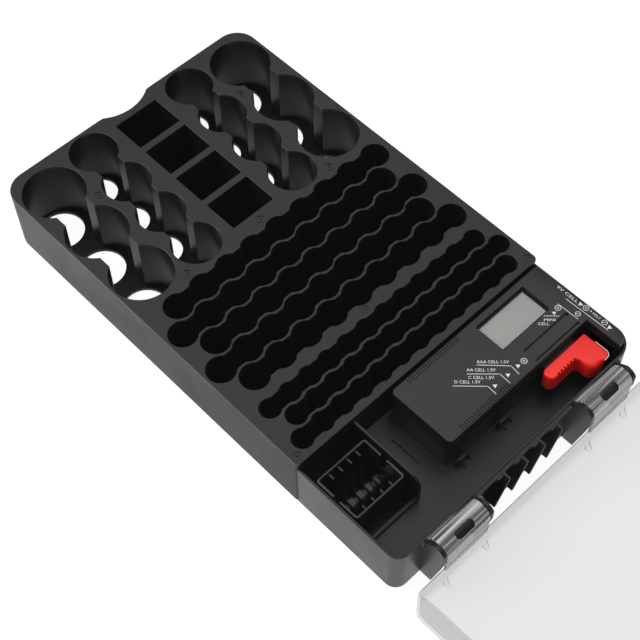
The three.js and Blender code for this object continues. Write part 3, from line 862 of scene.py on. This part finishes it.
# ---------------------------------------------------------------- coin-cell cup and cradle
cup = block(cup_low.x, cup_high.x, cup_low.y, cup_high.y, cup_low.z, cup_high.z)
soften(cup, 1.8, upright, steps=5)
cup_wall = 1.3
inside_x = (cup_low.x + cup_wall, cup_high.x - cup_wall)
inside_y = (cup_low.y + cup_wall, cup_high.y - cup_wall)
well = block(*inside_x, *inside_y, cup_low.z + 1.5, cup_high.z + 1)
cut(cup, soften(well, 0.8, upright, steps=3))
pitch = (cup_high.x - cup_low.x - 3) / 5
for k in range(1, 5):
    x = cup_low.x + 1.5 + pitch * k
    fuse(
        cup,
        block(x - 0.4, x + 0.4, cup_high.y - 5, cup_high.y - 1, cup_low.z + 1, cup_high.z - 1.6),
        block(x - 0.4, x + 0.4, cup_low.y + 1, cup_low.y + 4, cup_low.z + 1, cup_high.z - 1.6),
    )
cup_mid = (cup_low.y + cup_high.y) / 2
cut(cup, block(cup_low.x - 1, cup_high.x + 1, cup_mid - 1.8, cup_mid + 1.8, cup_high.z - 12, cup_high.z + 1))
soften(clean(cup), 0.3, at_height(cup_high.z), bend=SHARP)
ready(clean(cup, FINE_DOUBLE), "coin_cell_cup", "tray", cup_plastic, ["coin_cell_box"])

cradle_z = (cradle_low.z + cradle_high.z) / 2
cradle = rod(((cradle_low.x + cradle_high.x) / 2, cup_mid, cradle_z), 5.0, cradle_high.x - cradle_low.x, "X")
drum = (cradle_high.x - cradle_low.x) / 5
for k in range(5):
    x = cradle_low.x + drum * (k + 0.5)
    fuse(cradle, soften(rod((x - 0.3, cup_mid, cradle_z), 7.2, drum - 1.6, "X", sides=64), 1.1, steps=4))
ready(clean(cradle), "coin_cell_rack", "tray", cup_plastic, ["coin_cell_cradle"])

# ---------------------------------------------------------------- clear lid, lying open
lid_half = lid_high.x
lid_wall = 1.4
panel = 1.6
wall_out = pin_y - sleeve_r + sleeve_wall
lid_far = lid_low.y
lid_rim = 30.7
lid_middle_y = -300  # edges behind it are at the hinge end
hinge_end_corner, far_corner = 6, 14.7
scoop_long, scoop_r = 17, 12.7
hinge_top = 18.0


def lid_solid(inset, low, high, fillet, heel):
    """The lid's outline with small bottom edges and a large heel under the hinges."""
    solid = block(inset - lid_half, lid_half - inset, lid_far + inset, wall_out - inset, low, high)
    soften(solid, hinge_end_corner - inset, lambda a, b: upright(a, b) and a.y > lid_middle_y, steps=6)
    soften(solid, far_corner - inset, lambda a, b: upright(a, b) and a.y < lid_middle_y, steps=10)
    soften(solid, fillet, at_height(low), steps=5)
    section = block(-lid_half - 5, lid_half + 5, lid_far + inset, wall_out - inset, low, high)
    soften(
        section,
        heel,
        lambda a, b: at_height(low)(a, b) and a.y > lid_middle_y and b.y > lid_middle_y,
        steps=10,
    )
    return combine(solid, section, "INTERSECT")


lid = lid_solid(0, 0, lid_rim, 2.2, 9.0)
cut(lid, lid_solid(lid_wall, panel, lid_rim + 4, 1.2, 7.5))
scoop_y = wall_out - scoop_long
corner = block(-lid_half - 1, lid_half + 1, scoop_y, wall_out + 1, hinge_top, lid_rim + 1)
round_end = rod((0, 0, 0), scoop_r, 2 * lid_half + 4, "X", sides=96)
round_end.scale = (1, scoop_long / scoop_r, 1)
round_end.location = (0, scoop_y * MM, hinge_top * MM)
cut(corner, settle(round_end))
cut(lid, corner)
soften(lid, 0.35, lambda a, b: a.z > hinge_top - 0.1 and b.z > hinge_top - 0.1, bend=SHARP)
tongue = block(-11, 11, lid_far, lid_far + lid_wall, lid_rim - 2, lid_high.z)
soften(
    tongue,
    3,
    lambda a, b: abs(a.x - b.x) < 0.1 and abs(a.z - b.z) < 0.1 and a.z > lid_rim + 1,
    steps=5,
)
fuse(lid, tongue)
for side in (-1, 1):
    x0 = side * hinge_x - hinge_half + 0.35
    x1 = side * hinge_x + hinge_half - 0.35
    middle = side * hinge_x
    strap = rod((middle, pin_y, pin_z), sleeve_r, x1 - x0, "X", sides=64)
    fuse(strap, block(x0, x1, pin_y - sleeve_r, wall_out, hinge_top - 2, pin_z))
    cut(strap, rod((middle, pin_y, pin_z), sleeve_r - sleeve_wall, x1 - x0 + 2, "X", sides=64))
    mouth = block(middle - 6, middle + 6, pin_y - 5.0, pin_y - 0.6, pin_z + 2, pin_z + 10)
    soften(mouth, 1.8, upright, steps=5)
    cut(strap, mouth)
    slice_off(strap, (middle, pin_y, hinge_top), (0, 0, -1))
    soften(clean(strap), 0.3, lambda a, b: a.z > hinge_top + 1 and b.z > hinge_top + 1, bend=70)
    name = "hinge_sleeve_left" if side < 0 else "hinge_sleeve_right"
    ready(clean(strap, FINE_DOUBLE), name, "lid", thick_plastic)
    for x in (x0, x1 - 1.4):
        gusset = block(x, x + 1.4, pin_y - sleeve_r - 4, pin_y - sleeve_r + 0.3, 1, hinge_top - 3)
        slice_off(gusset, (x, pin_y - sleeve_r - 1.4, 7.5), (0, -5, 2.6))
        fuse(lid, gusset)
ready(clean(lid, FINE_DOUBLE), "lid_moulding", "lid", clear_plastic, ["clear_lid"])

# ---------------------------------------------------------------- tester case
head_x = 75.45
body_front = -153.73
head_front = back_low.y
case_back = back_high.y
case_left = back_low.x
case_right = back_high.x
case_top = top_high.z
shell = 1.6
case_corner, case_head_corner = 3, 6.0


def case_solid(inset, low, high):
    """The tester's L-shaped outline with its round corners."""
    solid = fuse(
        block(case_left + inset, case_right - inset, body_front + inset, case_back - inset, low, high),
        block(head_x + inset, case_right - inset, head_front + inset, body_front + inset + 4, low, high),
    )
    clean(solid)
    for x, y in (
        (case_left + inset, case_back - inset),
        (case_right - inset, case_back - inset),
        (case_left + inset, body_front + inset),
    ):
        soften(solid, case_corner - inset, near(x, y), steps=5)
    soften(solid, case_head_corner - inset, near(case_right - inset, head_front + inset), steps=10)
    return solid


case_top_shell = case_solid(0, top_low.z, case_top)
soften(case_top_shell, 0.8, at_height(case_top), steps=3, bend=SHARP)
cut(case_top_shell, case_solid(shell, top_low.z - 1, case_top - shell))

# display opening with a bevelled frame
overlap = 0.8
lcd_x0, lcd_x1 = window_low.x + overlap, window_high.x - overlap
lcd_y0, lcd_y1 = window_low.y + overlap, window_high.y - overlap
opening = block(lcd_x0, lcd_x1, lcd_y0, lcd_y1, case_top - 3, case_top + 1)
cut(case_top_shell, soften(opening, 0.5, upright, steps=3))
soften(
    clean(case_top_shell),
    0.25,
    lambda a, b: at_height(case_top)(a, b) and lcd_x0 - 1 < a.x < lcd_x1 + 1 and a.y > lcd_y0 - 1,
    bend=SHARP,
)

# guide grooves beside the slider's track
for y, wide in ((body_front + 2.2, 0.6), (body_front + 9.7, 0.95)):
    groove = block(case_right - 44.8, case_right - 11.5, y - wide, y + wide, case_top - 1.45, case_top + 1)
    cut(case_top_shell, soften(groove, 0.6, upright))

# knurled grips on both long edges
KNURL_X, KNURL_PITCH, KNURL_COUNT = -15.5, 1.6, 23
combs = []
for k in range(KNURL_COUNT):
    x = KNURL_X + KNURL_PITCH * k
    for y0, y1, y2, y3 in (
        (body_front - 1, body_front + 4.0, body_front - 1, body_front + 0.6),
        (case_back - 4.0, case_back + 1, case_back - 0.6, case_back + 1),
    ):
        combs.append(block(x - 0.28, x + 0.28, y0, y1, case_top - 0.6, case_top + 1))
        combs.append(block(x - 0.36, x + 0.36, y2, y3, top_low.z + 3, case_top - 0.61))
cut(case_top_shell, joined(combs))
for z in (31.4, 33.0, 34.6, 36.2, 37.8):
    for y0, y1 in ((body_front - 1, body_front + 0.3), (case_back - 0.3, case_back + 1)):
        cut(case_top_shell, block(-16, 20, y0, y1, z, z + 0.4))
slider_slot = (case_left + 3, head_x - 3, body_front - 1, body_front + shell + 0.5)
cut(case_top_shell, block(*slider_slot, top_low.z - 1, 32.59))
for node in ("nine_volt_contact_plus", "nine_volt_contact_minus"):
    low, high = span(node)
    cut(
        case_top_shell,
        rod((case_right, (low.y + high.y) / 2, (low.z + high.z) / 2), 3.4, 1.2, "X", sides=40),
    )
screws = [span(f"case_screw_{k}") for k in (1, 2, 3, 4)]
boss_z, boss_tall = (top_low.z + case_top - shell + 0.5) / 2, case_top - shell + 0.5 - top_low.z
for low, high in screws:
    x, y = (low.x + high.x) / 2, (low.y + high.y) / 2
    fuse(case_top_shell, rod((x, y, boss_z), 2.7, boss_tall, sides=24))
    cut(case_top_shell, rod((x, y, 31), 1.45, 8, sides=24))
clean(case_top_shell, FINE_DOUBLE)
ready(case_top_shell, "case_top", "tester", case_plastic, ["tester_top_shell"])

case_back_shell = case_solid(0, back_low.z, back_high.z)
soften(case_back_shell, 0.8, at_height(back_low.z), steps=3, bend=SHARP)
cut(case_back_shell, case_solid(shell, back_low.z + shell, back_high.z + 1))
boss_z, boss_tall = (back_low.z + back_high.z) / 2 + 0.3, back_high.z - back_low.z - 0.8
for low, high in screws:
    x, y = (low.x + high.x) / 2, (low.y + high.y) / 2
    fuse(case_back_shell, rod((x, y, boss_z), 4.0, boss_tall, sides=32))
    cut(
        case_back_shell,
        rod((x, y, 22), 1.65, 20, sides=24),
        rod((x, y, back_low.z + 1), 2.9, 6, sides=32),
    )
clean(case_back_shell, FINE_DOUBLE)
ready(case_back_shell, "case_back", "tester", case_plastic, ["tester_back_shell"])

# ---------------------------------------------------------------- slider
arm_back, arm_front = -156.23, -163.63
foot_front = -173.8
arm_right = slider_high.x
arm_left = slider_low.x
foot_left = arm_right - 13.6
slide_top, slide_low = slider_high.z, slider_low.z
slider = fuse(
    block(arm_left, arm_right, arm_front, arm_back, slide_low, slide_top),
    block(foot_left, arm_right, foot_front, arm_front + 3, slide_low, slide_top),
)
clean(slider)
for x, y, radius, steps in (
    (foot_left, arm_front, 2.2, 5),
    (foot_left, foot_front, 5, 8),
    (arm_right, foot_front, 3, 6),
    (arm_left, arm_front, 3.2, 6),
    (arm_left, arm_back, 3.2, 6),
    (arm_right, arm_back, 1.0, 4),
):
    soften(slider, radius, near(x, y), steps=steps)


def foot_top(a, b):
    """An edge round the top of the slider's foot, short of its outer side."""
    level = at_height(slide_top)(a, b)
    return level and a.y < foot_front + 6 and b.y < foot_front + 6 and a.x < arm_right - 2.9


def slider_rims(a, b):
    return at_height(slide_top)(a, b) or at_height(slide_low)(a, b)


soften(slider, 3.2, foot_top, steps=6, bend=SHARP)
soften(slider, 1.0, slider_rims, steps=4, bend=SHARP)
for k in range(6):
    x = arm_left + 5 + k * 2.4
    notch = block(x, x + 1.2, arm_front - 1, arm_front + 1.3, slide_low + 2, slide_top + 1)
    cut(slider, soften(notch, 0.3, upright))
# the lug and hook between the red arm and the case take the black case plastic: painted shade for the dark
# gap there
lug = block(arm_left + 5, arm_right - 5, arm_back - 0.5, body_front + shell + 4, 28.6, 32.1)
hook = block(arm_left + 5, arm_left + 7, body_front + shell + 1, body_front + shell + 4, 30, 36)
ready(clean(fuse(lug, hook), FINE_DOUBLE), "slider_lug_painted_shade", "slider", case_plastic)
ready(clean(slider, FINE_DOUBLE), "red_slider", "slider", red_plastic, ["test_slider"])

# plated strip round the foot's outer corner
strip_x, strip_y = arm_right + 0.4, foot_front - 0.35
core_x, core_y = arm_right + 0.02, foot_front - 0.02
strip = block(arm_right - 5, strip_x, strip_y, arm_front, slide_low + 1.5, slide_top - 0.2)
soften(strip, 3.3, near(strip_x, strip_y), steps=6)
core = block(arm_right - 6, core_x, core_y, arm_front + 1, slide_low, slide_top + 1)
soften(core, 3.0, near(core_x, core_y), steps=6)
cut(strip, core)
ready(clean(strip, FINE_DOUBLE), "plated_strip", "slider", steel, ["slider_contact"])

# ---------------------------------------------------------------- printing
TEXT_TURN = math.radians(-44.3)
DOWN = math.radians(-90)
ARROW_TURN = math.radians(-104)
ARROW_TURN_HEAD = math.radians(-44)
LEGEND_SIZE = 2.45
INK = 0.03  # the ink's thickness, in millimetres


def words(body, x, y, size, turn=TEXT_TURN, length=None):
    """Lettering that starts at this point, drawn out to a length where one is given."""
    bpy.ops.object.select_all(action="DESELECT")
    bpy.ops.object.text_add()
    text = bpy.context.object
    text.data.body = body
    text.data.size = size * MM
    text.data.align_y = "CENTER"
    text.data.extrude = INK / 2 * MM
    text.data.resolution_u = 3
    only(text)
    bpy.ops.object.convert(target="MESH")
    piece = bpy.context.object
    if length:
        piece.scale.x = length * MM / max(corner[0] for corner in piece.bound_box)
    piece.location = (x * MM, y * MM, case_top * MM)
    piece.rotation_euler = (0, 0, turn)
    return clean(settle(piece))


def stroke(points, width=0.32):
    """A printed line through these points."""
    parts = []
    for (xa, ya), (xb, yb) in zip(points, points[1:]):
        run = math.hypot(xb - xa, yb - ya)
        bar = block(-width / 2, run + width / 2, -width / 2, width / 2, -INK / 2, INK / 2)
        bar.rotation_euler = (0, 0, math.atan2(yb - ya, xb - xa))
        bar.location = (xa * MM, ya * MM, case_top * MM)
        parts.append(settle(bar))
    return joined(parts)


def arrow(x, y, size, turn):
    """A solid printed triangle."""
    return rod((x, y, case_top), size, INK, sides=3, twist=turn)


def ring(x, y, radius, width=0.3):
    disc = rod((x, y, case_top), radius, INK, sides=32)
    return cut(disc, rod((x, y, case_top), radius - width, 1, sides=32))


def sign(x, y, plus):
    """A minus, or a plus, lying at the lettering's slant."""
    arm, width = 0.6, 0.28
    bars = [stroke([(x - arm, y + arm), (x + arm, y - arm)], width)]
    if plus:
        bars.append(stroke([(x - arm, y - arm), (x + arm, y + arm)], width))
    return joined(bars)


legends = [
    ("AAA CELL 1.5V", 16.9, -131.3, [(15.8, -132.6), (27.5, -144.8), (26.9, -150.6)], (29.97, -147.2)),
    ("AA CELL 1.5V", 9.9, -131.0, [(8.4, -132.7), (20.1, -144.1), (19.8, -151.0)], (22.5, -147.2)),
    ("C CELL 1.5V", 7.2, -134.5, [], None),
    ("D CELL 1.5V", 0.4, -131.4, [(-1.6, -132.5), (10.6, -144.7), (10.3, -150.3)], (13.3, -146.9)),
]
marks = []
for body, x, y, line, tip in legends:
    marks.append(words(body, x, y, LEGEND_SIZE))
    if line:
        marks.append(stroke(line))
        marks.append(arrow(*tip, 1.4, ARROW_TURN))
marks += [
    ring(34.3, -147.4, 1.7),
    sign(34.3, -147.4, True),
    words("MINI", 59.65, -138.2, 2.3, length=6.0),
    words("CELL", 55.7, -137.7, 2.3, length=5.9),
    stroke([(61.6, -136.7), (67.1, -142.1)]),
    arrow(66.7, -139.1, 1.35, ARROW_TURN),
    ring(70.45, -138.5, 1.7),
    sign(70.45, -138.5, True),
    stroke([(72.3, -136.9), (72.6, -150.0)]),
    ring(74.97, -148.0, 1.5),
    sign(74.97, -148.0, False),
    stroke([(77.6, -137.8), (78.4, -164.8)]),
    words("9V CELL", 80.3, -129.4, 2.4, DOWN, 13.9),
    arrow(80.5, -145.0, 1.5, ARROW_TURN_HEAD),
    ring(80.7, -148.5, 1.7),
    sign(80.7, -148.5, True),
    words("9 VOLT", 80.7, -151.0, 2.1, DOWN, 7.0),
    ring(80.7, -160.8, 1.6),
    sign(80.7, -160.8, False),
    arrow(80.2, -164.4, 1.5, ARROW_TURN_HEAD),
]
ready(joined(marks), "printed_legends", "tester", ink)

# ---------------------------------------------------------------- parts carried over from the frame
carried = {
    "lcd_window": window_plastic,
    "lcd_module": display_finish,
    "lcd_connector": rubber_finish,
    "circuit_board": board_finish,
    "meter_chip": chip_finish,
    "button_cell_contact": steel,
    "fixed_contact_plate": bronze,
    "nine_volt_contact_plus": steel,
    "nine_volt_contact_minus": steel,
    "case_screw_1": steel,
    "case_screw_2": steel,
    "case_screw_3": steel,
    "case_screw_4": steel,
    "slider_return_spring": steel,
}
for node, material in carried.items():
    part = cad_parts[node]
    part.data.materials.clear()
    part.data.materials.append(material)

# ---------------------------------------------------------------- floor, light and camera
floor_finish, tree = new_finish("white_light_table")
glow = add(
    tree,
    "ShaderNodeBsdfPrincipled",
    inputs={
        "Base Color": linear("#707070"),
        "Roughness": 0.8,
        "Emission Color": linear("#ffffff"),
        "Emission Strength": 0.92,
    },
)
add(tree, "ShaderNodeOutputMaterial", inputs={"Surface": glow.outputs["BSDF"]})
bpy.ops.object.select_all(action="DESELECT")
FLOOR_SIZE, FLOOR_GAP = 8, 0.0003  # metres across, and metres clear of the object's underside
bpy.ops.mesh.primitive_plane_add(size=FLOOR_SIZE, location=(0, 0, -FLOOR_GAP))
floor = bpy.context.object
floor.name = "floor"
floor.data.materials.append(floor_finish)

sky = bpy.data.worlds.new("studio")
sky.use_nodes = True
backdrop = sky.node_tree.nodes["Background"].inputs
backdrop["Color"].default_value = linear("#ffffff")
backdrop["Strength"].default_value = 0.3
bpy.context.scene.world = sky


def softbox(name, place, aim, size, power):
    """A flat lamp of this size in metres and power in watts, turned to its aim."""
    lamp = bpy.data.lights.new(name, "AREA")
    lamp.shape = "RECTANGLE"
    lamp.size, lamp.size_y = size
    lamp.energy = power
    holder = bpy.data.objects.new(name, lamp)
    bpy.context.scene.collection.objects.link(holder)
    holder.location = place
    holder.rotation_euler = (Vector(aim) - Vector(place)).to_track_quat("-Z", "Y").to_euler()


softbox("overhead_softbox", (0.3, 0.3, 1.6), aim=(0.3, 0.3, 0), size=(2.4, 2.4), power=18)
softbox("key_softbox", (-0.8, 0.9, 1.2), aim=(0, 0, 0), size=(1.0, 1.0), power=14)

lens = bpy.data.cameras.new("camera")
lens.lens = 76.86
lens.sensor_width = 36
lens.shift_x = -0.023
camera = bpy.data.objects.new("camera", lens)
bpy.context.scene.collection.objects.link(camera)
camera.location = (-0.27833, -0.33194, 0.62399)
camera.rotation_euler = [math.radians(angle) for angle in (32.67, -0.08, -44.25)]
bpy.context.scene.camera = camera
bpy.context.scene.view_settings.view_transform = "Standard"
